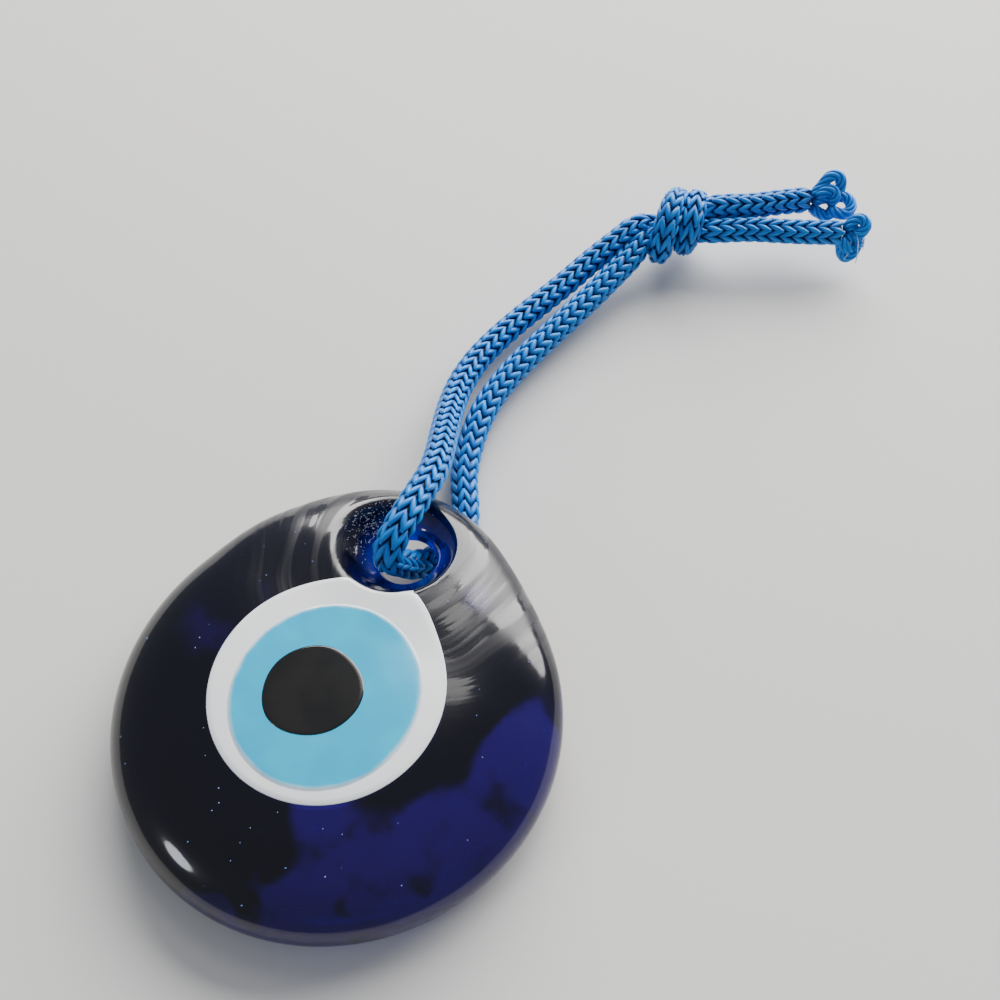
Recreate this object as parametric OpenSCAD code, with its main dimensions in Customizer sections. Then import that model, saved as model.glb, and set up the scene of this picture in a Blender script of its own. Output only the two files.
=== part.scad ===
// Evil eye ornament: a pressed cobalt glass disc with an inlaid eye,
// hung on a loop of knitted cord that is tied in an overhand knot.
// Millimetres. The disc lies on its back, +Z up, its hole towards +Y.

/* [Glass disc] */
// Width of the disc from side to side
glass_w = 55.7; // [48:0.1:80]
// Length of the disc from its foot to its crown
glass_l = 58.8; // [54:0.1:84]
// Thickness of the disc in its middle
glass_t = 11; // [10:0.25:15]
// Height of the widest line of the rounded rim
rim_h = 4.2; // [3:0.1:5.5]
// Room left between the cord and the crown's raised underside
crown_clearance = 0.5; // [0.3:0.1:1]
// How far the rim rises with the crown
rim_rise = 1.3; // [1:0.1:2]
// How far the top rises with the crown
top_rise = 0.6; // [0:0.1:1.5]

/* [Hole] */
// Hole's place across the disc
hole_x = -2.7; // [-4:0.1:0]
// Distance from the hole's middle to the end of the crown
hole_inset = 10.2; // [8.5:0.1:11]
// How much wider the hole is than the cord
hole_slack = 3.4; // [3.2:0.1:4]
// How far the crater's middle lies beside the hole's
crater_side = -1.5; // [-2:0.1:0]
// Radius of the crater where it meets the top
crater_r = 7.8; // [6.5:0.1:9.4]
// Depth of the crater below the top
crater_depth = 5.2; // [5:0.1:5.9]

/* [Eye] */
// Eye's place across the disc
eye_x = -0.6; // [-3:0.1:3]
// Eye's place along the disc
eye_y = -2; // [-5:0.1:0]
// Width of the white ring round the iris
white_ring = 2.6; // [1.5:0.1:4]
// How far the white's blunt tip stands out of its circle
tip_out = 1.8; // [0.5:0.1:3]
// Depth of the white in the glass
white_depth = 3.6; // [3:0.1:4.5]
// Half width of the iris
iris_rx = 11; // [8:0.1:14]
// Half length of the iris
iris_ry = 11.6; // [8:0.1:14]
// Depth of the iris in the white
iris_depth = 2.2; // [1.8:0.1:2.7]
// Half width of the pupil
pupil_rx = 5.4; // [3:0.1:7]
// Half length of the pupil
pupil_ry = 5.9; // [3:0.1:7]
// Depth of the pupil in the iris
pupil_depth = 1.2; // [0.5:0.1:1.4]
// Step by which each layer of the eye stands above the last
layer_step = 0.12; // [0.05:0.01:0.3]

/* [Cord] */
// Diameter of the knitted cord
cord_d = 4; // [3:0.1:4.1]
// Diameter of one pulled yarn at a frayed end
yarn_d = 1.5; // [1:0.1:2]
// Distance of the loop's fold line from the disc's middle
fold_y = 50; // [49.5:0.1:51]
// Height of the loop's fold line
fold_z = 2.8; // [2.5:0.1:3.2]
// Gap between the two stretches of each strand at the fold line
fold_gap = 0.9; // [0.8:0.05:1.2]

/* [Knot] */
// Radius from the knot's axis to the middle of its wraps
wrap_r = 4.2; // [3.6:0.1:4.6]
// Distance between the two wraps
wrap_pitch = 3.6; // [3.4:0.1:4.4]
// Length of the strands' bundle inside the knot
knot_l = 12; // [10:0.5:14]

/* [Hidden] */
$fn = 64;

cobalt = [0.06, 0.05, 0.42];
cord_blue = [0.0, 0.46, 0.82];

// Disc outline: lobes on a circle, as cosine terms of 1 to 4 times the heading
// and sine terms of 2 to 4 times the heading
outline_r = 28.3;
outline_cos = [-6.58, 0.22, 0.69, 0.17];
outline_sin = [-0.72, -0.41, -0.11];
outline_steps = 72;

// Fractions of the way from the disc's middle to its rim where the skin has a ring of points
top_rings = [0.995, 0.975, 0.94, 0.9, 0.85, 0.79, 0.7, 0.55, 0.35];
floor_rings = [0.985, 0.955, 0.915, 0.87, 0.82, 0.68, 0.52, 0.35];
// Fraction at which the underside's rounded edge meets the flat back
edge_in = 0.82;
// Stretch over which the crown rises, measured back from the hole
crown_start = 13;
crown_full = 3.5;

far = 100;
hole_y = glass_l / 2 - hole_inset;
hole_d = cord_d + hole_slack;
crown_gap = cord_d + crown_clearance;
white_r = max(iris_rx, iris_ry) + white_ring;
// Tops and undersides of the eye's three layers
white_top = glass_t + layer_step;
iris_top = white_top + layer_step;
pupil_top = iris_top + layer_step;
white_low = glass_t - white_depth;
iris_low = white_top - iris_depth;
pupil_low = iris_top - pupil_depth;
crater_ball_r = (crater_r * crater_r + crater_depth * crater_depth) / (2 * crater_depth);
// Lean of the white's tip and how wide it spreads, in degrees of heading
tip_heading = 3.5;
tip_spread = 16;
iris_shift = [0.4, -0.85];
pupil_shift = [-1.1, -1.3];

along_x = [1, 0, 0];
upright = [0, 0, 1];
cord_sides = 10;
yarn_sides = 6;
fold_end = fold_y - cord_d / 2 - fold_gap;

// Strand through the hole: from the fold line over the crown, down the hole and back under it
bight_route = [
    [-12.7, fold_end, 3.3], [-11.4, 44.8, 4.8], [-9.8, 41.1, 6.8], [-8.1, 37.6, 8.7],
    [-6.6, 34.4, 10.3], [-5.3, 31.2, 11.7], [-4.4, 28, 12.9], [-4.1, 25, 13.6], [-3.8, 22.4, 13.9],
    [-3.8, 20.2, 13.7], [-3.8, 18.4, 13], [-3.9, 16.8, 11.8], [-3.9, 16.2, 10.3], [-3.7, 17.1, 8.8],
    [-3.3, 18.2, 7.2], [-3, 18.9, 5.7], [-2.8, 19.7, 4.3], [-2.3, 20.9, 3.2], [-1.4, 22.4, 2.4],
    [-0.2, 24.2, 2.1], [0.3, 26.8, 2.1], [-0.1, 29.2, 2.1], [-1.6, 32.2, 2.1], [-4.1, 36, 2.1],
    [-6.6, 41, 2.1], [-7.8, 44.4, 2.4], [-8.2, fold_end, 2.7]];
// Front strand from the fold line to the knot
front_route = [
    [-13.4, fold_y, fold_z], [-14.3, 54.6, 2.7], [-13, 60.5, 2.7], [-11.2, 67.4, 2.9],
    [-8.7, 75.1, 3.5], [-6.6, 81.5, 4.6], [-4.1, 87, 6.1], [-2.3, 90.8, 6.8]];
// Back strand from the fold line to the knot
back_route = [
    [-8.4, fold_y, fold_z], [-8.2, 53.4, 2.9], [-7.4, 58.1, 3], [-5.6, 65.7, 3.2],
    [-3.9, 72.7, 3.8], [-2.3, 79.7, 4.6], [-1.1, 85.6, 5.3], [-0.7, 89.6, 5.8]];
// Tails from the knot to their frayed ends
upper_route = [[6, 97.6, 8.3], [11.9, 101.5, 8.4], [16.2, 105, 8.4], [20.3, 107.9, 8.5]];
lower_route = [[7.2, 94.5, 6.6], [13.6, 98, 7], [18.4, 100.2, 7], [23.2, 102.8, 6.8], [27.4, 105.3, 6.6]];
// Pulled yarns at the frayed ends: two small loops on each
upper_yarns = [
    [[19.9, 107.6, 8.7], [20.7, 109.6, 10], [21.3, 111, 11.2], [22.6, 111.8, 11.2], [23.4, 111.4, 9.8],
     [23, 110.3, 8.6]],
    [[20, 107.6, 8.3], [22.6, 109.6, 8.6], [24.8, 111, 8.4], [26.2, 110.2, 7.8], [26, 108.8, 7.2]]];
lower_yarns = [
    [[27, 105.2, 6.8], [28, 107.2, 8.2], [29.4, 107.6, 8.6], [30.6, 106.8, 7.6], [30.4, 105.6, 6.6]],
    [[27.1, 105.1, 6.4], [29.2, 105.4, 5.6], [29.6, 104.4, 4.2], [28.6, 103.4, 3.4], [27.6, 103.8, 4.4]]];

// Knot's middle, and its turn about the vertical
knot_at = [3, 94.3, 6.2];
knot_turn = 40;

// Outline point at a heading measured from +Y towards +X, before it is sized
function raw_outline(a) =
    let (r = outline_r + outline_cos * [for (k = [1:4]) cos(k * a)]
             + outline_sin * [for (k = [2:4]) sin(k * a)])
    [r * sin(a), r * cos(a)];

raw_points = [for (i = [0:outline_steps - 1]) raw_outline(360 * i / outline_steps)];
raw_x = [for (p = raw_points) p[0]];
raw_y = [for (p = raw_points) p[1]];
raw_middle = [(max(raw_x) + min(raw_x)) / 2, (max(raw_y) + min(raw_y)) / 2];
outline_scale = [glass_w / (max(raw_x) - min(raw_x)), glass_l / (max(raw_y) - min(raw_y))];

// Outline of the disc, centred on its own box and sized to glass_w by glass_l
outline = [for (p = raw_points)
    [(p[0] - raw_middle[0]) * outline_scale[0], (p[1] - raw_middle[1]) * outline_scale[1]]];

// 0 over the flat of the disc, rising smoothly to 1 over the crown
function crown(y) =
    let (t = max(0, min(1, (y - hole_y + crown_start) / (crown_start - crown_full))))
    t * t * (3 - 2 * t);

function rim_z(y) = rim_h + rim_rise * crown(y);
function floor_z(y) = crown_gap * crown(y);
function roof_z(y) = glass_t + top_rise * crown(y);

// Skin heights at a fraction u of the way out to the rim
function top_skin(y, u) = rim_z(y) + (roof_z(y) - rim_z(y)) * sqrt(1 - pow(u, 4));
function floor_skin(y, u) =
    let (w = max(0, (u - edge_in) / (1 - edge_in)))
    floor_z(y) + (rim_z(y) - floor_z(y)) * (1 - sqrt(1 - w * w));

// One closed ring of skin points
function skin_ring(u, over) =
    [for (p = outline) [u * p[0], u * p[1], over ? top_skin(u * p[1], u) : floor_skin(u * p[1], u)]];

// Quads that join ring a to the ring after it, both of n points
function ring_faces(a, n) =
    [for (i = [0:n - 1]) [a * n + i, a * n + (i + 1) % n, (a + 1) * n + (i + 1) % n, (a + 1) * n + i]];

function unit(v) = v / norm(v);

// Direction of a route at its point i
function heading(route, i) = unit(route[min(i + 1, len(route) - 1)] - route[max(i - 1, 0)]);

// Ring of a tube round a point, square to a direction, its first corner turned by a reference
function tube_ring(at, dir, r, sides, ref) =
    let (a = unit(cross(dir, ref)), b = cross(a, dir))
    [for (k = [0:sides - 1]) at + r * (cos(360 * k / sides) * a + sin(360 * k / sides) * b)];

// Rings of the half ball that closes a tube's start, behind its first point
function ball_rings(at, dir, r, sides, ref) =
    [for (t = [80, 50, 25]) each tube_ring(at - r * sin(t) * dir, dir, r * cos(t), sides, ref)];

// Direction square to the bend of a small loop
function loop_side(route) = unit(cross(route[1] - route[0], route[3] - route[1]));

// Pillow-shaped skin of the disc
module disc_skin() {
    n = outline_steps;
    rings = concat(
        [for (i = [len(floor_rings) - 1:-1:0]) skin_ring(floor_rings[i], false)],
        [skin_ring(1, true)],
        [for (u = top_rings) skin_ring(u, true)]);
    points = concat([for (ring = rings) each ring], [[0, 0, floor_z(0)], [0, 0, roof_z(0)]]);
    last = len(rings) - 1;
    faces = concat(
        [for (a = [0:last - 1]) each ring_faces(a, n)],
        [for (i = [0:n - 1]) [(i + 1) % n, i, len(points) - 2]],
        [for (i = [0:n - 1]) [last * n + i, last * n + (i + 1) % n, len(points) - 1]]);
    polyhedron(points, faces, convexity = 6);
}

// Bowl in the crown round the hole
module crater() {
    translate([hole_x + crater_side, hole_y, pupil_top - crater_depth + crater_ball_r])
        sphere(r = crater_ball_r);
}

// Hole for the cord, through the bottom of the crater
module hole() {
    translate([hole_x, hole_y, -1]) cylinder(d = hole_d, h = far);
}

// Blunt drop outline of the white
module white_outline() {
    polygon([for (i = [0:outline_steps - 1])
        let (a = 360 * i / outline_steps,
             off = a > 180 ? a - 360 - tip_heading : a - tip_heading,
             r = white_r + tip_out * exp(-off * off / (2 * tip_spread * tip_spread)))
        [eye_x + r * sin(a), eye_y + r * cos(a)]]);
}

// Oval outline of the iris or the pupil
module oval(shift, rx, ry) {
    polygon([for (i = [0:outline_steps - 1])
        let (a = 360 * i / outline_steps)
        [eye_x + shift[0] + rx * sin(a), eye_y + shift[1] + ry * cos(a)]]);
}

module iris_outline() { oval(iris_shift, iris_rx, iris_ry); }

module pupil_outline() { oval(pupil_shift, pupil_rx, pupil_ry); }

// Solid between two heights with the outline given as its child
module layer(low, high) {
    translate([0, 0, low]) linear_extrude(height = high - low) children();
}

// Tube along a route, its start closed by a half ball where ball_start is true
module tube(route, r, sides, ref, ball_start = false) {
    rings = concat(
        ball_start ? ball_rings(route[0], heading(route, 0), r, sides, ref) : [],
        [for (i = [0:len(route) - 1]) each tube_ring(route[i], heading(route, i), r, sides, ref)]);
    count = len(rings) / sides;
    faces = concat(
        [[for (k = [sides - 1:-1:0]) k]],
        [for (a = [0:count - 2]) each ring_faces(a, sides)],
        [[for (k = [0:sides - 1]) (count - 1) * sides + k]]);
    polyhedron(rings, faces, convexity = 4);
}

module glass_body() {
    color(cobalt)
    difference() {
        disc_skin();
        layer(white_low, far) white_outline();
        crater();
        hole();
    }
}

module eye_white() {
    color("white")
    difference() {
        layer(white_low, white_top) white_outline();
        layer(iris_low, far) iris_outline();
        crater();
        hole();
    }
}

module iris() {
    color("deepskyblue")
    difference() {
        layer(iris_low, iris_top) iris_outline();
        layer(pupil_low, far) pupil_outline();
    }
}

module pupil() {
    color("black") layer(pupil_low, pupil_top) pupil_outline();
}

module cord_bight() {
    color(cord_blue) tube(bight_route, cord_d / 2, cord_sides, along_x);
}

module loop_strand_front() {
    color(cord_blue) tube(front_route, cord_d / 2, cord_sides, along_x, ball_start = true);
}

module loop_strand_back() {
    color(cord_blue) tube(back_route, cord_d / 2, cord_sides, along_x, ball_start = true);
}

// Two wraps side by side round a bundle of strands
module cord_knot() {
    color(cord_blue)
    translate(knot_at) rotate([0, 0, knot_turn]) rotate([0, 90, 0]) {
        cylinder(r = wrap_r, h = knot_l, center = true);
        for (side = [-1, 1])
            translate([0, 0, side * wrap_pitch / 2])
                rotate_extrude() translate([wrap_r, 0]) circle(d = cord_d);
    }
}

module tail_upper() {
    color(cord_blue) tube(upper_route, cord_d / 2, cord_sides, upright);
}

module tail_lower() {
    color(cord_blue) tube(lower_route, cord_d / 2, cord_sides, upright);
}

module frayed_end_upper() {
    color(cord_blue) for (yarn = upper_yarns) tube(yarn, yarn_d / 2, yarn_sides, loop_side(yarn));
}

module frayed_end_lower() {
    color(cord_blue) for (yarn = lower_yarns) tube(yarn, yarn_d / 2, yarn_sides, loop_side(yarn));
}

glass_body();
eye_white();
iris();
pupil();
cord_bight();
loop_strand_front();
loop_strand_back();
cord_knot();
tail_upper();
tail_lower();
frayed_end_upper();
frayed_end_lower();
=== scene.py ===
import logging
import math
from dataclasses import dataclass, field
from enum import Enum
from typing import Any, Iterable, Sequence

import bmesh
import bpy
import numpy as np
from mathutils import Matrix, Vector


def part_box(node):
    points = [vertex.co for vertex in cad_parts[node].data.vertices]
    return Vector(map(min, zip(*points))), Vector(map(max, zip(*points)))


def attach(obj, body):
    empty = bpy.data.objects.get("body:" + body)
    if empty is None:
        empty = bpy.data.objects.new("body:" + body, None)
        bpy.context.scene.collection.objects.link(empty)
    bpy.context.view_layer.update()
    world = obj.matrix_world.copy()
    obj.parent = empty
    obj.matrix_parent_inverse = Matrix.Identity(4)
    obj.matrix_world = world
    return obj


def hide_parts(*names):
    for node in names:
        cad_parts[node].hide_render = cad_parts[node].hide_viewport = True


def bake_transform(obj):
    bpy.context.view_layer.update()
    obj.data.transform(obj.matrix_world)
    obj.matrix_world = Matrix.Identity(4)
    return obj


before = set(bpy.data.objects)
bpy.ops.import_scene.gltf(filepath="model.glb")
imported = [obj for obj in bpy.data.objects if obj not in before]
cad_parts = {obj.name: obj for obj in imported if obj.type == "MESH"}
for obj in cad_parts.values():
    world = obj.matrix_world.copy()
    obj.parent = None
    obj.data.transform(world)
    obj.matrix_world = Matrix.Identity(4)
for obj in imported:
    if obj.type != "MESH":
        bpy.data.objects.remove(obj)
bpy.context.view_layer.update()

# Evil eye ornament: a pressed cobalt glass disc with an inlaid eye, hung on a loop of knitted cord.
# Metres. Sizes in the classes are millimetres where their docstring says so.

log = logging.getLogger("ornament")
MM = 0.001
TURN = 2 * math.pi


class Body(Enum):
    """Moving bodies of the ornament."""
    GLASS = "glass"
    BIGHT = "bight"
    LOOP = "loop"


class Stitch(Enum):
    """Which way the point of each V stitch looks along its cord."""
    FORWARD = 1
    BACKWARD = -1


# ---------------------------------------------------------------- shader tools

class Val:
    """A socket's value that takes part in Python arithmetic by adding Math nodes."""

    def __init__(self, tree: bpy.types.NodeTree, socket: bpy.types.NodeSocket) -> None:
        """Wraps an output socket of a node tree."""
        self.tree, self.socket = tree, socket

    def _math(self, operation: str, first: Any, second: Any = None) -> "Val":
        """Adds one Math node.

        Args:
            operation: the node's operation.
            first: its first value, a number or a Val.
            second: its second value, if it has one.

        Returns:
            The node's result.
        """
        made = self.tree.nodes.new("ShaderNodeMath")
        made.operation = operation
        for place, value in enumerate((first, second)):
            if isinstance(value, Val):
                self.tree.links.new(value.socket, made.inputs[place])
            elif value is not None:
                made.inputs[place].default_value = value
        return Val(self.tree, made.outputs[0])

    def __add__(self, other: Any) -> "Val":
        """Sum."""
        return self._math("ADD", self, other)

    __radd__ = __add__

    def __sub__(self, other: Any) -> "Val":
        """Difference."""
        return self._math("SUBTRACT", self, other)

    def __rsub__(self, other: Any) -> "Val":
        """Difference from a number."""
        return self._math("SUBTRACT", other, self)

    def __mul__(self, other: Any) -> "Val":
        """Product."""
        return self._math("MULTIPLY", self, other)

    __rmul__ = __mul__

    def __truediv__(self, other: Any) -> "Val":
        """Quotient."""
        return self._math("DIVIDE", self, other)

    def __pow__(self, other: Any) -> "Val":
        """Power."""
        return self._math("POWER", self, other)

    def angle(self, other: "Val") -> "Val":
        """Angle whose tangent is this value over the other."""
        return self._math("ARCTAN2", self, other)

    def step(self, low: float, high: float) -> "Val":
        """Smooth step of the value.

        Args:
            low: where it is 0.
            high: where it is 1.

        Returns:
            The stepped value.
        """
        made = self.tree.nodes.new("ShaderNodeMapRange")
        made.interpolation_type = "SMOOTHSTEP"
        self.tree.links.new(self.socket, made.inputs["Value"])
        made.inputs["From Min"].default_value = low
        made.inputs["From Max"].default_value = high
        return Val(self.tree, made.outputs["Result"])


class Recipe:
    """One procedural material under construction."""

    def __init__(self, name: str) -> None:
        """Starts an empty material.

        Args:
            name: its name.
        """
        self.material = bpy.data.materials.new(name)
        self.material.use_nodes = True
        self.tree = self.material.node_tree
        self.tree.nodes.clear()

    def add(self, kind: str, settings: dict | None = None, sockets: dict | None = None) -> bpy.types.Node:
        """Adds any node but a Math node.

        Args:
            kind: the node's type.
            settings: its properties.
            sockets: values or links of its inputs, by name or identifier.

        Returns:
            The node.
        """
        made = self.tree.nodes.new(kind)
        for key, value in (settings or {}).items():
            setattr(made, key, value)
        for key, value in (sockets or {}).items():
            target = next((s for s in made.inputs if s.identifier == key), None) or made.inputs[key]
            if isinstance(value, Val):
                value = value.socket
            if isinstance(value, bpy.types.NodeSocket):
                self.tree.links.new(value, target)
            elif isinstance(value, tuple) and len(value) == 3 and target.type == "RGBA":
                target.default_value = (*value, 1)
            else:
                target.default_value = value
        return made

    def val(self, node: bpy.types.Node, output: str | int = 0) -> Val:
        """A node's output as a value."""
        return Val(self.tree, node.outputs[output])

    def place(self) -> bpy.types.NodeSocket:
        """Object coordinates."""
        return self.add("ShaderNodeTexCoord").outputs["Object"]

    def axis(self, name: str) -> Val:
        """One object coordinate, X, Y or Z."""
        return self.val(self.add("ShaderNodeSeparateXYZ", sockets={"Vector": self.place()}), name)

    def noise(self, size: float, detail: float = 2, where: Any = None) -> Val:
        """Noise with features of a size in metres, on object coordinates unless told where."""
        return self.val(self.add("ShaderNodeTexNoise", sockets={
            "Vector": where or self.place(), "Scale": 1 / size, "Detail": detail}))

    def mix(self, factor: Any, first: Any, second: Any) -> bpy.types.NodeSocket:
        """Colour between two colours."""
        made = self.add("ShaderNodeMix", {"data_type": "RGBA"}, {
            "Factor_Float": factor, "A_Color": first, "B_Color": second})
        return next(s for s in made.outputs if s.identifier == "Result_Color")

    def attribute(self, name: str) -> bpy.types.Node:
        """Reads a named attribute of the mesh."""
        return self.add("ShaderNodeAttribute", {"attribute_name": name})

    def bump(self, height: Val, distance: float, strength: float = 1) -> bpy.types.NodeSocket:
        """Normal raised by a height."""
        return self.add("ShaderNodeBump", sockets={
            "Height": height, "Distance": distance, "Strength": strength}).outputs[0]

    def finish(self, volume: bpy.types.NodeSocket | None = None, **sockets: Any) -> bpy.types.Material:
        """Adds the Principled shader and the output.

        Args:
            volume: a volume shader's output, if the material has one.
            sockets: the shader's inputs, with _ for a blank.

        Returns:
            The finished material.
        """
        shader = self.add("ShaderNodeBsdfPrincipled",
                          sockets={key.replace("_", " "): value for key, value in sockets.items()})
        inputs = {"Surface": shader.outputs[0]}
        if volume:
            inputs["Volume"] = volume
        self.add("ShaderNodeOutputMaterial", sockets=inputs)
        return self.material


# ---------------------------------------------------------------- finishes

@dataclass(frozen=True)
class CobaltGlass:
    """Deep cobalt glass with violet patches of painted light, a bright ring of painted light at the hole and
    swirls round it. Metres.
    """
    dark: tuple = (0.004, 0.003, 0.022)
    painted_light_violet: tuple = (0.046, 0.0, 0.43)
    # Colour of the ring of painted light round the hole.
    cobalt: tuple = (0.0, 0.020, 0.85)
    absorbed: tuple = (0.10, 0.04, 0.80)
    density: float = 380.0
    hole: tuple = (-0.0027, 0.0192)
    left_patch: tuple = (-0.0176, -0.001)
    swirl_out: float = 0.62
    swirl_round: float = 0.7

    def make(self) -> bpy.types.Material:
        """Builds the material.

        Returns:
            The finished material.
        """
        r = Recipe("cobalt_glass")
        x, y = r.axis("X"), r.axis("Y")
        cloud, fine = r.noise(0.012, 0.5), r.noise(0.006, 2)
        from_hole = x - self.hole[0]
        ring = (from_hole ** 2 + (y - self.hole[1]) ** 2) ** 0.5 * 1000
        turn = from_hole.angle(self.hole[1] - y)
        flow = r.noise(1, 2, r.add("ShaderNodeCombineXYZ", sockets={
            "X": (ring + cloud * 4) * self.swirl_out, "Y": turn * self.swirl_round}).outputs[0])
        # Violet patches of painted light at the right, the left and the foot, torn up by the noise: light
        # through the glass and its inner reflections painted into its colour.
        side = (x * 48 - y * 10 + (cloud - 0.5) * 2.6).step(0.72, 1.0)
        from_left = (x - self.left_patch[0]) ** 2 + (y - self.left_patch[1]) ** 2
        left = from_left * 16000 + (cloud - 0.5) * 2.0
        foot = (x * 20 - y * 34 + (fine - 0.5) * 1.1).step(0.84, 1.02)
        torn = (fine * 0.55 + cloud * 0.45).step(0.42, 0.56)
        painted_light = (side * 0.8 + (1 - left.step(0.2, 1.0)) * 0.35 + foot * 0.5) * (torn * 0.75 + 0.25)
        # The glass's own dark colour, with the violet patches of painted light mixed in.
        body = r.mix(painted_light.step(0.0, 0.9), self.dark, self.painted_light_violet)
        # Painted light: a bright cobalt ring round the hole, standing in for light through the thin glass of
        # its lip.
        colour = r.mix((1 - ring.step(4.2, 7.4)) * (fine.step(0.3, 0.7) * 0.5 + 0.5), body, self.cobalt)
        # The swirls change the finish only in a band round the hole.
        near = ring.step(6.5, 9.5) * (1 - ring.step(15, 27))
        rough = near * flow.step(0.40, 0.60) * 0.30 + 0.07
        volume = r.add("ShaderNodeVolumeAbsorption",
                       sockets={"Color": self.absorbed, "Density": self.density})
        return r.finish(volume=volume.outputs[0], Base_Color=colour, Roughness=rough, IOR=1.5,
                        Transmission_Weight=0.82, Coat_Weight=near * flow.step(0.62, 0.38) * 0.5 + 0.15,
                        Coat_Roughness=0.24,
                        Normal=r.bump(r.noise(0.009, 1) + fine * 0.12 + near * flow * 1.1, 0.00016, 0.6))


@dataclass(frozen=True)
class OpaqueGlass:
    """Opaque coloured glass of one layer of the eye, glossy, with a soft feathered edge."""
    name: str
    body: tuple
    cloud: tuple
    rim: tuple
    feather: float = 0.9

    def make(self) -> bpy.types.Material:
        """Builds the material.

        Returns:
            The finished material.
        """
        r = Recipe(self.name)
        out = r.val(r.attribute("out"), "Fac")
        inner = r.mix(r.noise(0.006, 3).step(0.35, 0.7), self.body, self.cloud)
        wobble = out + r.noise(0.003, 2) * 0.05 - 0.025
        colour = r.mix(wobble.step(self.feather, 1.0), inner, self.rim)
        rough = r.noise(0.002, 2) * 0.08 + 0.10
        return r.finish(Base_Color=colour, Roughness=rough, IOR=1.5, Coat_Weight=0.25,
                        Coat_Roughness=0.16,
                        Normal=r.bump(r.noise(0.005, 1), 0.0001, 0.4))


@dataclass(frozen=True)
class Nylon:
    """Glossy knitted yarn, with painted shade in the gaps between its stitches and a painted highlight on
    their crests.
    """
    name: str
    painted_gap_shade: tuple = (0.0, 0.022, 0.11)
    lit: tuple = (0.0, 0.16, 0.60)
    painted_highlight: tuple = (0.0, 0.34, 0.95)
    grain: tuple = (5.0, 0.7, 5.0)

    def make(self) -> bpy.types.Material:
        """Builds the material.

        Returns:
            The finished material.
        """
        r = Recipe(self.name)
        rise = r.val(r.attribute("rise"), "Fac")
        chance = r.val(r.attribute("chance"), "Fac")
        leg = r.add("ShaderNodeVectorMath", {"operation": "MULTIPLY"}, {
            0: r.attribute("leg").outputs["Vector"], 1: self.grain})
        fibre = r.val(r.add("ShaderNodeTexNoise", sockets={
            "Vector": leg.outputs[0], "Scale": 1.0, "Detail": 2.0}))
        # Painted shade: the colour goes from the lit colour down to the dark gap colour where the yarn sinks
        # between its stitches or plies.
        base = r.mix(rise.step(0.25, 0.85), self.painted_gap_shade, self.lit)
        # Painted highlight: the crests of the stitches are lightened, more on some stitches and fibres than
        # others.
        colour = r.mix(rise.step(0.7, 1.05) * (chance * 0.5 + fibre * 0.5), base, self.painted_highlight)
        return r.finish(Base_Color=colour, Roughness=fibre * 0.2 + 0.26, Specular_IOR_Level=0.35,
                        Normal=r.bump(fibre, 0.00012, 0.8))


@dataclass(frozen=True)
class Speck:
    """Dust, lint or a tiny bubble."""
    name: str
    pale: tuple
    deep: tuple

    def make(self) -> bpy.types.Material:
        """Builds the material.

        Returns:
            The finished material.
        """
        r = Recipe(self.name)
        return r.finish(Base_Color=r.mix(r.noise(0.0004, 2), self.pale, self.deep),
                        Roughness=r.noise(0.0003, 2) * 0.3 + 0.35)


@dataclass(frozen=True)
class PaleFloor:
    """Plain pale studio floor."""
    tone: tuple = (0.70, 0.69, 0.67)
    shade: tuple = (0.66, 0.65, 0.63)

    def make(self) -> bpy.types.Material:
        """Builds the material.

        Returns:
            The finished material.
        """
        r = Recipe("floor")
        return r.finish(Base_Color=r.mix(r.noise(0.2, 2) * 0.1, self.tone, self.shade),
                        Roughness=0.7)


# ---------------------------------------------------------------- mesh tools

def coords(bm: bmesh.types.BMesh) -> np.ndarray:
    """All vertex places of a bmesh as one array."""
    return np.array([v.co for v in bm.verts], float).reshape(-1, 3)


def move_to(verts: Iterable[bmesh.types.BMVert], places: np.ndarray) -> None:
    """Moves each vertex to its row of an array."""
    for vert, place in zip(verts, places.tolist()):
        vert.co = place


def piece(name: str, bm: bmesh.types.BMesh, material: bpy.types.Material,
          floats: dict[str, np.ndarray] | None = None) -> bpy.types.Object:
    """Turns a bmesh into a smooth finished piece.

    Args:
        name: the piece's name.
        bm: its mesh, which is freed.
        material: its finish.
        floats: values per vertex that its finish reads, by name.

    Returns:
        The piece, at the origin.
    """
    mesh = bpy.data.meshes.new(name)
    bm.to_mesh(mesh)
    bm.free()
    for key, values in (floats or {}).items():
        mesh.attributes.new(key, "FLOAT", "POINT").data.foreach_set("value", values.astype(np.float32))
    mesh.polygons.foreach_set("use_smooth", [True] * len(mesh.polygons))
    mesh.materials.append(material)
    made = bpy.data.objects.new(name, mesh)
    bpy.context.scene.collection.objects.link(made)
    log.info("%s: %d faces", name, len(mesh.polygons))
    return made


def smoothstep(t: np.ndarray) -> np.ndarray:
    """0 to 1 with level ends."""
    t = np.clip(t, 0, 1)
    return t * t * (3 - 2 * t)


def soft_min(a: np.ndarray, b: np.ndarray, reach: float) -> np.ndarray:
    """The lower of two heights, rounded where they meet."""
    h = np.clip(0.5 + 0.5 * (b - a) / reach, 0, 1)
    return b + (a - b) * h - reach * h * (1 - h)


# ---------------------------------------------------------------- cords

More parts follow.
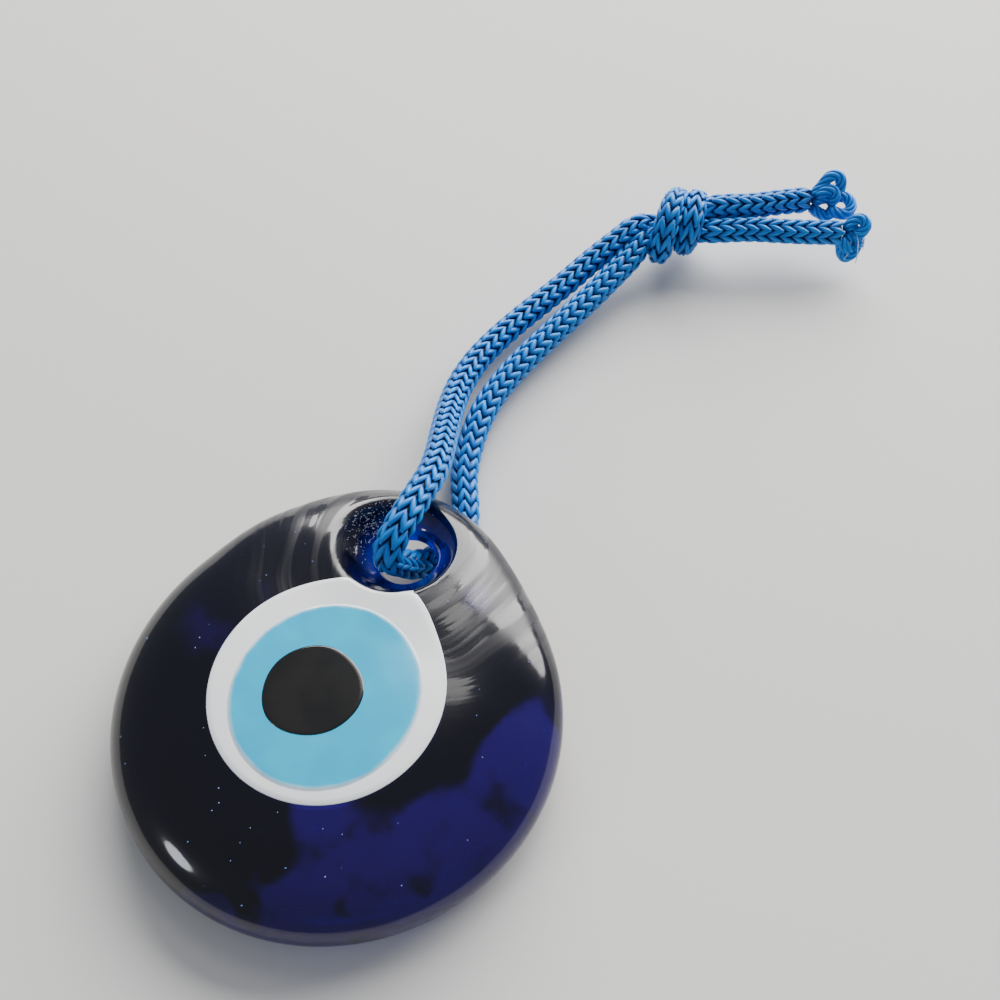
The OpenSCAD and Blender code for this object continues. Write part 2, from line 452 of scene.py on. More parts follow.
class Route:
    """A smooth line through points, in millimetres, with a frame that doesn't twist."""

    def __init__(self, points: Sequence[Sequence[float]], step: float = 0.4, ease: int = 8,
                 calm: tuple | None = None, calm_rounds: int = 500, calm_fade: float = 5) -> None:
        """Runs a spline through the points and samples it evenly.

        Args:
            points: the places it passes, in millimetres.
            step: distance between samples.
            ease: how many times the samples are averaged with their neighbours.
            calm: a stretch of Y, in millimetres, whose bends are opened out further.
            calm_rounds: how many times that stretch is eased.
            calm_fade: distance over which the easing starts and stops, in millimetres.
        """
        line = self._spline(np.array(points, float))
        for _ in range(2):
            gaps = np.linalg.norm(np.diff(line, axis=0), axis=1)
            run = np.concatenate([[0], np.cumsum(gaps)])
            count = max(3, int(round(run[-1] / step)) + 1)
            even = np.linspace(0, run[-1], count)
            line = np.stack([np.interp(even, run, line[:, k]) for k in range(3)], 1)
            for _ in range(ease):
                line[1:-1] = (line[:-2] + 2 * line[1:-1] + line[2:]) / 4
        if calm:
            inside = np.minimum(line[:, 1] - calm[0], calm[1] - line[:, 1])
            soft = np.clip(inside / calm_fade, 0, 1)[1:-1, None]
            for _ in range(calm_rounds):
                line[1:-1] += soft * ((line[:-2] + line[2:]) / 2 - line[1:-1]) / 2
        self.line = line
        self.run = np.concatenate([[0], np.cumsum(np.linalg.norm(np.diff(line, axis=0), axis=1))])
        self.length = float(self.run[-1])
        self.ahead = np.gradient(line, axis=0)
        self.ahead /= np.linalg.norm(self.ahead, axis=1)[:, None]
        side = np.cross(self.ahead[0], (0.1, 0.2, 1.0))
        sides = []
        for ahead in self.ahead:
            side = side - ahead * side.dot(ahead)
            side = side / np.linalg.norm(side)
            sides.append(side)
        self.side = np.array(sides)
        self.up = np.cross(self.side, self.ahead)

    @staticmethod
    def _spline(p: np.ndarray, steps: int = 14) -> np.ndarray:
        """Catmull-Rom line through points.

        Args:
            p: the points.
            steps: places made for each gap between them.

        Returns:
            The line's places.
        """
        ends = np.vstack([2 * p[0] - p[1], p, 2 * p[-1] - p[-2]])
        t = np.linspace(0, 1, steps, endpoint=False)[:, None]
        parts = []
        for a, b, c, d in zip(ends, ends[1:], ends[2:], ends[3:]):
            parts.append(0.5 * (2 * b + (c - a) * t + (2 * a - 5 * b + 4 * c - d) * t ** 2
                                + (3 * b - a - 3 * c + d) * t ** 3))
        return np.vstack(parts + [p[-1:]])

    def lay(self, straight: np.ndarray) -> np.ndarray:
        """Bends a straight thing onto the line.

        Args:
            straight: places across, along and above a straight line, in millimetres.

        Returns:
            Their places round this line, in millimetres.
        """
        s = straight[:, 1]
        place, side, up = (np.stack([np.interp(s, self.run, table[:, k]) for k in range(3)], 1)
                           for table in (self.line, self.side, self.up))
        beyond = (s - np.clip(s, 0, self.length))[:, None]
        nose = np.where(s[:, None] < 0, self.ahead[0], self.ahead[-1])
        return place + beyond * nose + straight[:, :1] * side + straight[:, 2:] * up


@dataclass
class KnitCord:
    """One stretch of knitted cord: a core tube under columns of V stitches. Millimetres."""
    name: str
    route: Route
    points: Stitch
    diameter: float = 4.0
    wales: int = 6
    pitch: float = 1.95
    core: float = 1.4
    leg_long: float = 1.5
    leg_wide: float = 0.38
    leg_high: float = 0.46
    leg_turn: float = 20.0
    leg_rise: float = 8.0
    leg_lift: float = 0.18

    def _legs(self, bm: bmesh.types.BMesh) -> None:
        """Makes the two legs of the first stitch on a flat sheet.

        Args:
            bm: the mesh that gets them.
        """
        layer = bm.verts.layers.float_vector.new("leg")
        width = TURN * self.core / self.wales
        for side in (-1, 1):
            made = bmesh.ops.create_uvsphere(bm, u_segments=6, v_segments=7, radius=1)["verts"]
            bmesh.ops.rotate(bm, verts=made, matrix=Matrix.Rotation(math.pi / 2, 3, "X"))
            bmesh.ops.scale(bm, verts=made, vec=(self.leg_wide, self.leg_long, self.leg_high))
            for vert in made:
                vert[layer] = vert.co.copy()
            lift = Matrix.Rotation(math.radians(-self.leg_rise * self.points.value), 3, "X")
            turn = Matrix.Rotation(math.radians(side * self.leg_turn * self.points.value), 3, "Z")
            bmesh.ops.rotate(bm, verts=made, matrix=turn @ lift)
            bmesh.ops.translate(bm, verts=made, vec=(side * width / 4 + width / 2, 0, self.leg_lift))

    def build(self, material: bpy.types.Material) -> bpy.types.Object:
        """Makes the cord's piece.

        Args:
            material: its finish.

        Returns:
            The piece.
        """
        bm = bmesh.new()
        self._legs(bm)
        width = TURN * self.core / self.wales
        rows = int(self.route.length / self.pitch)
        for steps, move in ((self.wales - 1, (width, 0, 0)), (rows - 1, (0, self.pitch, 0))):
            bmesh.ops.spin(bm, geom=bm.verts[:] + bm.edges[:] + bm.faces[:], axis=(0, 0, 1),
                           dvec=move, angle=0, steps=steps, use_duplicate=True)
        bmesh.ops.translate(bm, verts=bm.verts, vec=(0, self.pitch / 2, 0))
        flat = coords(bm)
        row, wale = np.floor(flat[:, 1] / self.pitch), np.floor(flat[:, 0] / width)
        # One repeatable number from 0 to 1 for each stitch.
        chance = np.modf(np.abs(np.sin(row * 12.9898 + wale * 78.233) * 43758.5453))[0]
        angle, radius = flat[:, 0] / self.core, self.core + flat[:, 2]
        move_to(bm.verts, np.stack([radius * np.sin(angle), flat[:, 1], radius * np.cos(angle)], 1))
        # The core tube under the stitches.
        count = len(bm.verts)
        ring = bmesh.ops.create_circle(bm, segments=12, radius=self.core)["verts"]
        bmesh.ops.rotate(bm, verts=ring, matrix=Matrix.Rotation(math.pi / 2, 3, "X"))
        edges = list({e for v in ring for e in v.link_edges})
        bmesh.ops.spin(bm, geom=ring + edges, axis=(0, 1, 0), angle=0,
                       dvec=(0, self.pitch / 2, 0), steps=rows * 2)
        bmesh.ops.holes_fill(bm, edges=[e for e in bm.edges if e.is_boundary])
        bmesh.ops.recalc_face_normals(bm, faces=bm.faces)
        straight = coords(bm)
        reach = np.hypot(straight[:, 0], straight[:, 2])
        # How far each point stands out from the core; the finish paints shade where it is low and a
        # highlight where it is high.
        rise = np.clip((reach - self.core) / (self.diameter / 2 - self.core), 0, 1.2)
        chance = np.concatenate([chance, np.zeros(len(straight) - count)])
        move_to(bm.verts, self.route.lay(straight) * MM)
        return piece(self.name, bm, material, {"rise": rise, "chance": chance})


@dataclass
class Yarn:
    """Pulled yarn or a single filament: twisted plies along a route. Millimetres."""
    name: str
    routes: list[Route]
    ply: float
    offset: float
    plies: int = 3
    sides: int = 7
    lay_length: float = 8.0
    step: float = 0.25
    taper: float = 0.7
    blunt: float = 0.12
    chance: float = 0.6

    def build(self, material: bpy.types.Material) -> bpy.types.Object:
        """Makes all the yarns of the piece as one mesh.

        Args:
            material: their finish.

        Returns:
            The piece.
        """
        bm = bmesh.new()
        rise = []
        for route in self.routes:
            start = len(bm.verts)
            ring, edges = [], []
            for ply in range(self.plies):
                made = bmesh.ops.create_circle(bm, segments=self.sides, radius=self.ply)["verts"]
                bmesh.ops.rotate(bm, verts=made, matrix=Matrix.Rotation(math.pi / 2, 3, "X"))
                turn = TURN * ply / self.plies
                bmesh.ops.translate(bm, verts=made,
                                    vec=(self.offset * math.cos(turn), 0, self.offset * math.sin(turn)))
                ring += made
                edges += list({e for v in made for e in v.link_edges})
            steps = max(4, int(route.length / self.step))
            bmesh.ops.spin(bm, geom=ring + edges, axis=(0, 1, 0), cent=(0, 0, 0),
                           angle=TURN * route.length / self.lay_length,
                           dvec=(0, route.length / steps, 0), steps=steps)
            bmesh.ops.holes_fill(bm, edges=[e for e in bm.edges if e.is_boundary])
            bm.verts.ensure_lookup_table()
            straight = coords(bm)[start:]
            inside = np.minimum(straight[:, 1], route.length - straight[:, 1])
            straight[:, ::2] *= np.sqrt(np.clip(inside / self.taper, self.blunt, 1))[:, None]
            reach = np.hypot(straight[:, 0], straight[:, 2])
            # How far each point stands out from the middle of the yarn; the finish paints shade where it is
            # low and a highlight where it is high.
            rise.append(np.clip(reach / (self.ply + self.offset), 0, 1))
            move_to(bm.verts[start:], route.lay(straight))
        bmesh.ops.scale(bm, verts=bm.verts, vec=(MM, MM, MM))
        bmesh.ops.recalc_face_normals(bm, faces=bm.faces)
        rise = np.concatenate(rise)
        return piece(self.name, bm, material, {"rise": rise, "chance": np.full(len(rise), self.chance)})


@dataclass
class OverhandKnot:
    """Overhand knot of two strands. Millimetres, angles in degrees."""
    at: tuple = (3, 94.3, 6.2)
    turn: float = 40
    wrap: float = 4.2
    heart: float = 1.6
    steps: int = 20
    begin: float = -110
    end: float = 290
    ramp: float = 80
    shift: float = 0.9

    def winding(self, along: float, lean: float, swell: float = 0) -> list[list[float]]:
        """One strand's wrap round the others.

        Args:
            along: the wrap's place along the knot's axis.
            lean: how far it leans along the axis at its sides.
            swell: how much further out it stands.

        Returns:
            Points from the heart of the knot round it and back to the heart.
        """
        turn = math.radians(self.turn)
        axis = np.array((math.cos(turn), math.sin(turn), 0))
        side = np.array((-math.sin(turn), math.cos(turn), 0))
        places = []
        for phi in np.linspace(self.begin, self.end, self.steps):
            out = smoothstep((phi - self.begin) / self.ramp) * smoothstep((self.end - phi) / self.ramp)
            radius = self.heart + (self.wrap + swell - self.heart) * out
            a = math.radians(phi)
            done = 2 * self.shift * (phi - self.begin) / (self.end - self.begin)
            drift = along + lean * math.cos(a) + self.shift - done
            places.append((np.array(self.at) + drift * axis + radius * math.cos(a) * side
                           + np.array((0, 0, radius * math.sin(a)))).tolist())
        return places


@dataclass
class CordLoop:
    """The loop of knitted cord with its knot and frayed tails. Millimetres."""
    cord_d: float = 4.0
    fold_y: float = 50.0
    throat: int = 15
    calm_before: float = 13.0
    calm_after: float = 24.0
    knot: OverhandKnot = field(default_factory=OverhandKnot)
    bight: tuple = (
        (-12.7, 47.1, 3.3), (-11.4, 44.8, 4.8), (-9.8, 41.1, 6.8), (-8.1, 37.6, 8.7), (-6.6, 34.4, 10.3),
        (-5.3, 31.2, 11.7), (-4.4, 28, 12.9), (-4.1, 25, 13.6), (-3.8, 22.4, 13.9), (-3.8, 20.2, 13.7),
        (-3.8, 18.4, 13), (-3.9, 16.8, 11.8), (-3.9, 16.2, 10.3), (-3.7, 17.1, 8.8), (-3.3, 18.2, 7.2),
        (-3, 18.9, 5.7), (-2.8, 19.7, 4.3), (-2.3, 20.9, 3.2), (-1.4, 22.4, 2.4), (-0.2, 24.2, 2.1),
        (0.3, 26.8, 2.1), (-0.1, 29.2, 2.1), (-1.6, 32.2, 2.1), (-4.1, 36, 2.1), (-6.6, 41, 2.1),
        (-7.8, 44.4, 2.4), (-8.2, 47.1, 2.7))
    front: tuple = (
        (-13.4, 50, 2.8), (-14.3, 54.6, 2.7), (-13, 60.5, 2.7), (-11.2, 67.4, 2.9), (-8.7, 75.1, 3.5),
        (-6.6, 81.5, 4.6), (-4.1, 87, 6.1), (-2.3, 90.8, 6.8))
    back: tuple = (
        (-8.4, 50, 2.8), (-8.2, 53.4, 2.9), (-7.4, 58.1, 3), (-5.6, 65.7, 3.2), (-3.9, 72.7, 3.8),
        (-2.3, 79.7, 4.6), (-1.1, 85.6, 5.3), (-0.7, 89.6, 5.8))
    upper: tuple = ((6, 97.6, 8.3), (11.9, 101.5, 8.4), (16.2, 105, 8.4), (20.3, 107.9, 8.5))
    lower: tuple = (
        (7.2, 94.5, 6.6), (13.6, 98, 7), (18.4, 100.2, 7), (23.2, 102.8, 6.8), (27.4, 105.3, 6.6))
    upper_yarns: tuple = (
        ((19.9, 107.6, 8.7), (20.7, 109.6, 10), (21.3, 111, 11.2), (22.6, 111.8, 11.2), (23.4, 111.4, 9.8),
         (23, 110.3, 8.6), (21.6, 109.2, 8.2), (20.4, 108.2, 8.0)),
        ((20, 107.6, 8.3), (22.6, 109.6, 8.6), (24.8, 111, 8.4), (26.2, 110.2, 7.8), (26, 108.8, 7.2),
         (24.6, 108.2, 7.2), (22.8, 108.2, 7.6)),
        ((20.6, 107.6, 8.9), (21.4, 108.8, 9.8), (22.6, 109.8, 9.9), (23.4, 109.4, 8.8), (22.6, 108.4, 8.0)),
        ((20.2, 107.2, 7.6), (21.6, 107.6, 6.6), (23.2, 108.0, 6.2), (23.8, 108.8, 7.2)))
    lower_yarns: tuple = (
        ((27, 105.2, 6.8), (27.6, 106.7, 7.8), (28.6, 107.5, 8.4), (29.8, 107.1, 7.7), (29.5, 106.1, 6.9),
         (28.8, 105.6, 6.5), (28, 105.2, 6.5)),
        ((27.1, 105.1, 6.4), (29.2, 105.4, 5.6), (29.6, 104.4, 4.2), (28.6, 103.4, 3.4), (27.6, 103.8, 4.4),
         (27.2, 104.4, 5.6)),
        ((27.2, 105.6, 7.2), (28.2, 106.6, 6.6), (29.4, 106.4, 5.6), (29.8, 105.2, 5.2), (28.8, 104.6, 5.6)),
        ((26.8, 104.6, 6.0), (27.8, 103.8, 5.4), (28.8, 103.6, 4.8), (28.6, 104.6, 4.6)))
    filaments: tuple = (
        ((28.6, 105.6, 7.2), (29.6, 104.6, 6.6), (30.4, 102.8, 5.6), (30.8, 101.4, 4.6)),
        ((29.2, 105.9, 7.0), (30.2, 105.6, 6.4), (30.9, 104.4, 5.2)),
        ((28.4, 105.0, 6.2), (29.0, 103.6, 5.2), (28.8, 102.2, 4.0)))

    def _strands(self, yarns: tuple) -> list[Route]:
        """Fine, barely eased routes of pulled yarns."""
        return [Route(yarn, 0.2, 1) for yarn in yarns]

    def _blend(self, cord: bpy.types.Object) -> None:
        """Bakes a cord's placement into its mesh."""
        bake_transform(cord)

    def build(self) -> list[bpy.types.Object]:
        """Makes the two cords, their frayed ends and the loose filaments.

        Returns:
            All the pieces.
        """
        nylon, pulled = Nylon("knitted_cord").make(), Nylon("loose_yarn", painted_gap_shade=(0, 0.03, 0.16)).make()
        hair = Speck("pale_filament", (0.55, 0.75, 0.9), (0.25, 0.5, 0.8)).make()
        fray_up = Yarn("fray_upper", self._strands(self.upper_yarns), 0.36, 0.62, 6, 6).build(pulled)
        fray_low = Yarn("fray_lower", self._strands(self.lower_yarns), 0.36, 0.60, 6, 6).build(pulled)
        hairs = Yarn("fray_filaments", self._strands(self.filaments), 0.09, 0, 1, 5).build(hair)
        for made, node in ((fray_up, "frayed_end_upper"), (fray_low, "frayed_end_lower")):
            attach(made, Body.LOOP.value)
            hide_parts(node)
        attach(hairs, Body.LOOP.value)
        over = [*reversed(self.bight[:self.throat + 1]), *self.front,
                *self.knot.winding(-1.8, 2.3), *self.upper]
        under = [*self.bight[self.throat:], *self.back, *self.knot.winding(1.9, 1.5, -0.7), *self.lower]
        made = [fray_up, fray_low, hairs]
        for name, points, way, nodes, with_pieces in (
                ("cord_front", over, Stitch.FORWARD,
                 ("cord_bight", "loop_strand_front", "cord_knot", "tail_upper"), [fray_up]),
                ("cord_back", under, Stitch.BACKWARD,
                 ("cord_bight", "loop_strand_back", "cord_knot", "tail_lower"), [fray_low, hairs])):
            route = Route(points, calm=(self.fold_y - self.calm_before, self.fold_y + self.calm_after))
            cord = KnitCord(name, route, way).build(nylon)
            self._blend(cord)
            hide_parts(*nodes)
            log.info("%s: %.1f mm long", name, route.length)
            made.append(cord)
        return made


# ---------------------------------------------------------------- glass disc

@dataclass
class GlassDisc:
    """Pressed disc with a raised crown, a crater and a hole. Millimetres."""
    rim_h: float = 4.2
    rim_rise: float = 1.3
    top_rise: float = 0.6
    crown_gap: float = 4.5
    crown_start: float = 13.0
    crown_full: float = 3.5
    edge_in: float = 0.82
    hole_x: float = -2.7
    hole_inset: float = 10.2
    outline_r: float = 28.3
    outline_cos: tuple = (-6.58, 0.22, 0.69, 0.17)
    outline_sin: tuple = (-0.72, -0.41, -0.11)
    hole_r: float = 3.7
    crater_x: float = -4.2
    crater_r: float = 7.8
    crater_depth: float = 5.2
    rest_top: float = 11.0
    pupil_top: float = 11.36
    lip: float = 0.9
    bowl_roll: float = 2.0
    ripple: float = 0.03
    ripple_at: float = 12.5
    ripple_wide: float = 4.0
    eye_at: tuple = (-0.6, -2.0)
    eye_clear: float = 17.5
    around: int = 192

    def __post_init__(self) -> None:
        """Works out the outline from the disc's own box."""
        low, high = (np.array(c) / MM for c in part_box("glass_body"))
        a = np.linspace(0, TURN, 1440, endpoint=False)
        r = self.outline_r + sum(c * np.cos((k + 1) * a) for k, c in enumerate(self.outline_cos)) \
            + sum(c * np.sin((k + 2) * a) for k, c in enumerate(self.outline_sin))
        raw = np.stack([r * np.sin(a), r * np.cos(a)], 1)
        span = raw.max(0) - raw.min(0)
        self.outline = (raw - (raw.max(0) + raw.min(0)) / 2) / span * (high - low)[:2] \
            + (low + high)[:2] / 2
        self.hole = np.array((self.hole_x, high[1] - self.hole_inset))
        self.ball = (self.crater_r ** 2 + self.crater_depth ** 2) / (2 * self.crater_depth)

    def reach(self, centre: np.ndarray, angle: np.ndarray) -> np.ndarray:
        """Distance from a centre to the outline.

        Args:
            centre: the place it is measured from.
            angle: headings, from +X towards +Y.

        Returns:
            The distance at each heading.
        """
        away = self.outline - centre
        at, far = np.arctan2(away[:, 1], away[:, 0]), np.hypot(away[:, 0], away[:, 1])
        order = np.argsort(at)
        return np.interp(angle, at[order], far[order], period=TURN)

    def _parts(self, x: np.ndarray, y: np.ndarray) -> tuple[np.ndarray, np.ndarray, np.ndarray]:
        """Shape values at places on the disc.

        Args:
            x: the places' X.
            y: the places' Y.

        Returns:
            Fraction of the way out, rim height and share of the crown's rise.
        """
        u = np.hypot(x, y) / self.reach(np.zeros(2), np.arctan2(y, x))
        crown = smoothstep((y - self.hole[1] + self.crown_start) / (self.crown_start - self.crown_full))
        return np.clip(u, 0, 1), self.rim_h + self.rim_rise * crown, crown

    def top(self, x: np.ndarray, y: np.ndarray) -> np.ndarray:
        """Height of the upper skin, with its crater.

        Args:
            x: the places' X.
            y: the places' Y.

        Returns:
            The height at each place.
        """
        u, rim, crown = self._parts(x, y)
        skin = rim + (self.rest_top + self.top_rise * crown - rim) * np.sqrt(1 - u ** 4)
        away = (x - self.crater_x) ** 2 + (y - self.hole[1]) ** 2
        ring = np.sqrt(away)
        turn = np.arctan2(y - self.hole[1], x - self.crater_x)
        flow = np.sin(1.9 * ring + 1.4 * np.sin(2.3 * turn))
        near = np.exp(-((ring - self.ripple_at) / self.ripple_wide) ** 2)
        from_eye = np.hypot(x - self.eye_at[0], y - self.eye_at[1])
        skin = skin + self.ripple * flow * near * smoothstep((1 - u) / 0.3) \
            * smoothstep((from_eye - self.eye_clear) / 3)
        bowl = self.pupil_top - self.crater_depth + self.ball - np.sqrt(
            np.clip(self.ball ** 2 - away, 0, None))
        return np.where(away < self.ball ** 2, soft_min(skin, bowl, self.bowl_roll), skin)

    def floor(self, x: np.ndarray, y: np.ndarray) -> np.ndarray:
        """Height of the underside.

        Args:
            x: the places' X.
            y: the places' Y.

        Returns:
            The height at each place.
        """
        u, rim, crown = self._parts(x, y)
        w = np.clip((u - self.edge_in) / (1 - self.edge_in), 0, 1)
        low = self.crown_gap * crown
        return low + (rim - low) * (1 - np.sqrt(1 - w * w))

    def build(self) -> bpy.types.Object:
        """Makes the disc from a closed profile spun round the hole and warped to the outline.

        The profile's radius runs over the hole's lip from 0.9 to 1, then out to the rim at 2.

        Returns:
            The piece.
        """
        psi = np.linspace(0, math.pi / 2, 7)
        lip = [(0.9 + 0.1 * (1 - math.cos(p)), math.sin(p)) for p in psi]
        inner = np.linspace(0, 0.28, 20)[1:]
        middle = np.linspace(0.28, 0.86, 20)[1:]
        outer = 1 - 0.14 * np.linspace(1, 0, 22)[1:] ** 2.2
        out = [1 + q for q in np.concatenate([inner, middle, outer])]
        profile = lip + [(q, 1.0) for q in out] + [(q, -1.0) for q in reversed(out[:-1])] \
            + [(q, -level) for q, level in reversed(lip[1:])]
        bm = bmesh.new()
        verts = [bm.verts.new((q, 0, level)) for q, level in profile]
        edges = [bm.edges.new((a, b)) for a, b in zip(verts, verts[1:] + verts[:1])]
        bmesh.ops.spin(bm, geom=verts + edges, axis=(0, 0, 1), angle=TURN, steps=self.around, use_merge=True)
        code = coords(bm)
        q, angle = np.hypot(code[:, 0], code[:, 1]), np.arctan2(code[:, 1], code[:, 0])
        far = self.reach(self.hole, angle)
        start = self.hole_r + self.lip
        away = np.where(q < 1, self.hole_r + self.lip * (q - 0.9) / 0.1, start + (far - start) * (q - 1))
        x, y = self.hole[0] + away * np.cos(angle), self.hole[1] + away * np.sin(angle)
        high, low = self.top(x, y), self.floor(x, y)
        move_to(bm.verts, np.stack([x, y, low + (high - low) * (code[:, 2] + 1) / 2], 1) * MM)
        bmesh.ops.recalc_face_normals(bm, faces=bm.faces)
        made = piece("glass_disc", bm, CobaltGlass().make())
        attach(made, Body.GLASS.value)
        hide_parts("glass_body")
        return made


@dataclass
class EyeLayer:
    """One domed layer of the eye, laid on the glass. Millimetres."""
    name: str
    node: str
    slot: str
    finish: OpaqueGlass
    centre: tuple
    radii: tuple
    lift: float
    depth: float
    tip: float = 0.0
    tip_heading: float = 3.5
    tip_spread: float = 16.0
    lobes: tuple = ()
    cut: bool = False
    cut_r: float = 7.5
    melt: float = 0.78
    fall: float = -0.05
    around: int = 128

    def _radius(self, disc: GlassDisc, heading: np.ndarray) -> np.ndarray:
        """Outline radius.

        Args:
            disc: the glass it lies on.
            heading: headings, from +Y towards +X.

        Returns:
            The radius at each heading.
        """
        off = np.degrees((heading + math.pi) % TURN - math.pi) - self.tip_heading
        sx, sy = np.sin(heading) * self.radii[0], np.cos(heading) * self.radii[1]
        radius = np.hypot(sx, sy) + self.tip * np.exp(-off ** 2 / (2 * self.tip_spread ** 2))
        for count, size, phase in self.lobes:
            radius *= 1 + size * np.cos(count * heading + phase)
        if self.cut:
            to = np.array((disc.crater_x, disc.hole[1])) - np.array(self.centre)
            along = to[0] * np.sin(heading) + to[1] * np.cos(heading)
            miss = to @ to - along ** 2
            limit = along - np.sqrt(np.clip(self.cut_r ** 2 - miss, 0, None))
            near = (miss < self.cut_r ** 2) & (along > 0)
            radius = np.where(near, soft_min(radius, limit, 0.6), radius)
        return radius

    def build(self, disc: GlassDisc) -> bpy.types.Object:
        """Makes the layer from a half profile spun round and warped to its outline.

        Args:
            disc: the glass it lies on.

        Returns:
            The piece.
        """
        fade = [(q, (q - self.melt) / (1 - self.melt)) for q in np.linspace(self.melt, 1, 10)]
        top = [(0.0, 1.0)] + [(q, 1.0) for q in np.linspace(0.08, self.melt - 0.05, 8)]
        edge = [(q, 1 - (1 - self.fall) * smoothstep(t)) for q, t in fade]
        under = [(1.0, -0.3), (0.96, -0.8), (0.8, -1.0), (0.0, -1.0)]
        bm = bmesh.new()
        verts = [bm.verts.new((0, q, level)) for q, level in top + edge + under]
        edges = [bm.edges.new(pair) for pair in zip(verts, verts[1:])]
        bmesh.ops.spin(bm, geom=verts + edges, axis=(0, 0, 1), angle=TURN, steps=self.around,
                       use_merge=True)
        bmesh.ops.remove_doubles(bm, verts=bm.verts, dist=1e-5)
        code = coords(bm)
        q, heading = np.hypot(code[:, 0], code[:, 1]), np.arctan2(code[:, 0], code[:, 1])
        radius = self._radius(disc, heading) * q
        x, y = self.centre[0] + radius * np.sin(heading), self.centre[1] + radius * np.cos(heading)
        level = code[:, 2]
        z = disc.top(x, y) + np.where(level > 0, self.lift * level, self.depth * level)
        move_to(bm.verts, np.stack([x, y, z], 1) * MM)
        bmesh.ops.recalc_face_normals(bm, faces=bm.faces)
        made = piece(self.name, bm, self.finish.make(), {"out": q})
        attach(made, Body.GLASS.value)
        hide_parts(self.node)
        return made


@dataclass
class Grains:
    """Many tiny rounded grains on or in the glass. Millimetres."""
    name: str
    slot: str
    finish: Speck
    places: np.ndarray
    sizes: np.ndarray

    def build(self) -> bpy.types.Object:
        """Makes all the grains as one mesh.

        Returns:
            The piece.
        """
        bm = bmesh.new()
        for (x, y, z), (a, b, turn) in zip(self.places.tolist(), self.sizes.tolist()):
            made = bmesh.ops.create_icosphere(bm, subdivisions=1, radius=1)["verts"]
            bmesh.ops.scale(bm, verts=made, vec=(a, b, min(a, b)))
            bmesh.ops.rotate(bm, verts=made, matrix=Matrix.Rotation(turn, 3, "Z"))
            bmesh.ops.translate(bm, verts=made, vec=(x, y, z))
        bmesh.ops.scale(bm, verts=bm.verts, vec=(MM, MM, MM))
        made = piece(self.name, bm, self.finish.make())
        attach(made, Body.GLASS.value)
        return made


@dataclass
class GlassMarks:
    """Bubbles in the glass, specks on it and lint in its crater."""
    seed: int = 7
    bubbles: int = 90
    specks: int = 46
    lint: int = 240

    def build(self, disc: GlassDisc) -> list[bpy.types.Object]:
        """Makes the three kinds of marks.

        Args:
            disc: the glass they lie on or in.

        Returns:
            The three pieces.
        """
        rng = np.random.default_rng(self.seed)

        def sizes(count: int, low: float, high: float, stretch: float) -> np.ndarray:
            """Two half sizes and a turn for each grain."""
            a = rng.uniform(low, high, count)
            return np.stack([a, a * rng.uniform(1, stretch, count), rng.uniform(0, TURN, count)], 1)

        def spread(count: int, inner: float, outer: float) -> tuple[np.ndarray, np.ndarray]:
            """X and Y of places over the disc, between two fractions of the way out."""
            angle, u = rng.uniform(0, TURN, count), np.sqrt(rng.uniform(inner ** 2, outer ** 2, count))
            r = disc.reach(np.zeros(2), angle) * u
            return r * np.cos(angle), r * np.sin(angle)

        x, y = spread(self.bubbles, 0.58, 0.93)
        bubbles = np.stack([x, y, disc.top(x, y) - rng.uniform(0.25, 1.6, self.bubbles)], 1)
        x, y = spread(self.specks, 0.56, 0.95)
        dust = np.stack([x, y, disc.top(x, y)], 1)
        angle, r = rng.normal(2.9, 0.45, self.lint), rng.uniform(4.0, 7.3, self.lint)
        x, y = disc.crater_x + r * np.cos(angle), disc.hole[1] + r * np.sin(angle)
        lint = np.stack([x, y, disc.top(x, y) + 0.02], 1)
        return [
            Grains("glass_bubbles", "cobalt_glass", Speck("bubble", (0.35, 0.4, 0.9), (0.1, 0.12, 0.6)),
                   bubbles, sizes(self.bubbles, 0.05, 0.14, 1.6)).build(),
            Grains("glass_specks", "cobalt_glass", Speck("dust", (0.25, 0.36, 0.7), (0.08, 0.2, 0.6)),
                   dust, sizes(self.specks, 0.04, 0.09, 2.0)).build(),
            Grains("crater_lint", "cobalt_glass", Speck("lint", (0.6, 0.62, 0.66), (0.35, 0.38, 0.45)),
                   lint, sizes(self.lint, 0.015, 0.035, 12.0)).build()]


# ---------------------------------------------------------------- studio

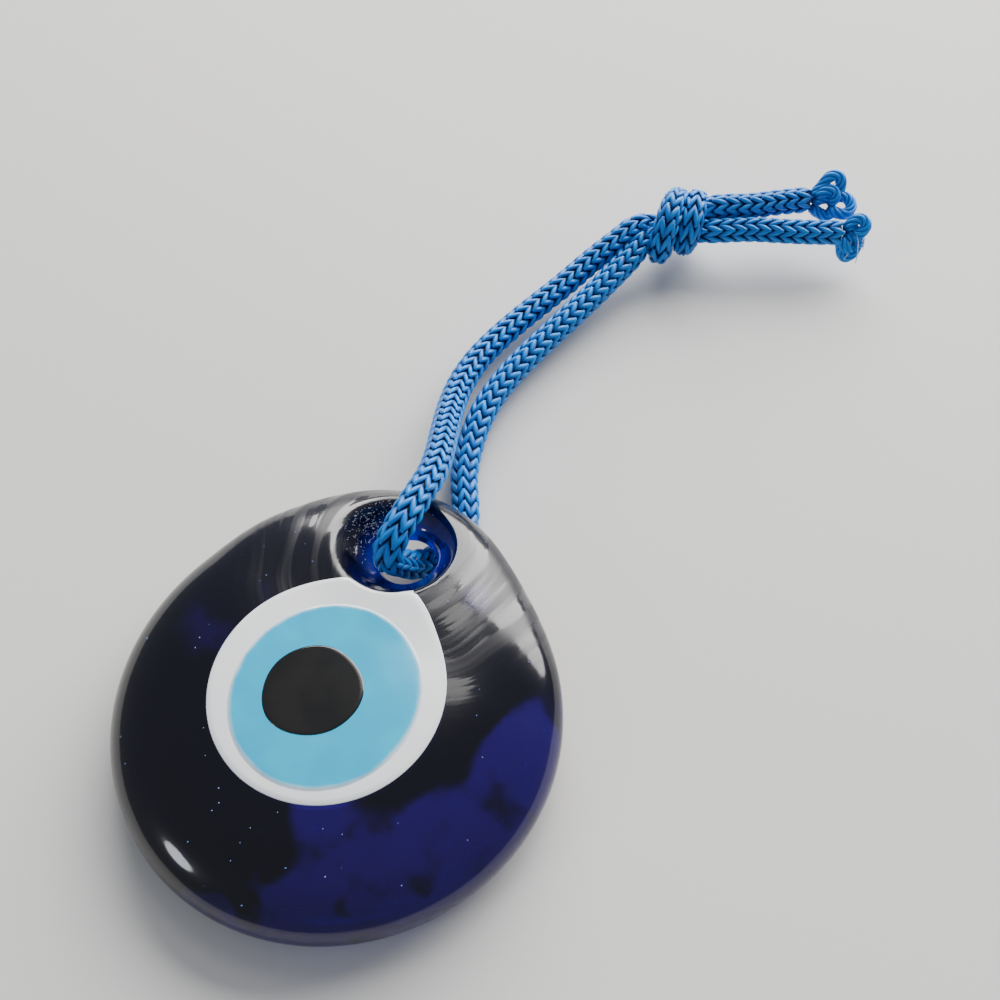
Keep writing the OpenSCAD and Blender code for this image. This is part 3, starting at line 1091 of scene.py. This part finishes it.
@dataclass
class Studio:
    """Camera, floor and soft lights."""
    eye: tuple = (0.04171, -0.03609, 0.130)
    aim: tuple = (0.00125, 0.03690, 0.0)
    lens: float = 38.81
    sensor: float = 36.0
    nearest: float = 0.005

    def _look(self, made: bpy.types.Object, at: Iterable[float]) -> None:
        """Turns a camera or lamp to look at a place."""
        made.rotation_euler = (Vector(at) - made.location).to_track_quat("-Z", "Y").to_euler()

    def camera(self) -> None:
        """Sets the camera."""
        made = bpy.data.objects.new("camera", bpy.data.cameras.new("camera"))
        made.location = self.eye
        made.data.lens, made.data.sensor_width = self.lens, self.sensor
        made.data.clip_start = self.nearest
        self._look(made, self.aim)
        bpy.context.scene.collection.objects.link(made)
        bpy.context.scene.camera = made

    def lamp(self, name: str, at: tuple, size: tuple, power: float, tint: tuple, aim: tuple) -> None:
        """Adds one soft lamp.

        Args:
            name: its name.
            at: its place.
            size: its width and height.
            power: its watts.
            tint: its colour.
            aim: the place it looks at.
        """
        data = bpy.data.lights.new(name, "AREA")
        data.shape, data.size, data.size_y = "ELLIPSE", *size
        data.energy, data.color = power, tint
        made = bpy.data.objects.new(name, data)
        made.location = at
        self._look(made, aim)
        bpy.context.scene.collection.objects.link(made)

    def build(self) -> None:
        """Sets the camera, lays the floor and hangs the lights."""
        self.camera()
        bm = bmesh.new()
        bmesh.ops.create_grid(bm, x_segments=2, y_segments=2, size=2.5)
        floor = piece("floor", bm, PaleFloor().make())
        middle = (0, 0.03, 0)
        self.lamp("window", (-0.1, 1.0, 0.56), (1.9, 0.86), 46.0, (1, 0.985, 0.96), middle)
        self.lamp("sheen", (-0.22, 0.56, 1.05), (0.40, 0.40), 1.5, (1, 0.99, 0.97), middle)
        self.lamp("fill", (-0.55, -0.80, 0.50), (0.22, 0.22), 1.5, (0.93, 0.96, 1), middle)
        world = bpy.data.worlds.new("studio")
        world.use_nodes = True
        world.node_tree.nodes["Background"].inputs["Color"].default_value = (0.75, 0.8, 0.9, 1)
        world.node_tree.nodes["Background"].inputs["Strength"].default_value = 0.36
        bpy.context.scene.world = world


def main() -> None:
    """Builds the ornament and its studio."""
    logging.basicConfig(level=logging.INFO)
    Studio().build()
    CordLoop().build()
    disc = GlassDisc()
    disc.build()
    EyeLayer("eye_white_layer", "eye_white", "white_glass",
             OpaqueGlass("white_glass", (0.91, 0.92, 0.93), (0.87, 0.89, 0.92), (0.72, 0.78, 0.90), 0.955),
             (-0.6, -2.0), (14.5, 14.5), 0.12, 2.2, tip=1.8, cut=True, melt=0.93, fall=-0.3).build(disc)
    EyeLayer("iris_layer", "iris", "turquoise_glass",
             OpaqueGlass("turquoise_glass", (0.0, 0.41, 0.68), (0.0, 0.48, 0.74),
                         (0.90, 0.91, 0.92), 0.92),
             (-0.2, -2.85), (11.58, 12.08), 0.22, 1.6, fall=0.30, melt=0.94).build(disc)
    EyeLayer("pupil_layer", "pupil", "black_glass",
             OpaqueGlass("black_glass", (0.006, 0.006, 0.006), (0.012, 0.011, 0.010),
                         (0.03, 0.16, 0.22), 0.95),
             (-1.7, -3.3), (5.92, 6.1), 0.32, 1.0, fall=0.45, melt=0.93,
             lobes=((2, 0.035, -2.27), (3, 0.016, 2.1), (5, 0.007, 1.0))).build(disc)
    GlassMarks().build(disc)
    bpy.context.view_layer.update()


if __name__ == "__main__":
    main()
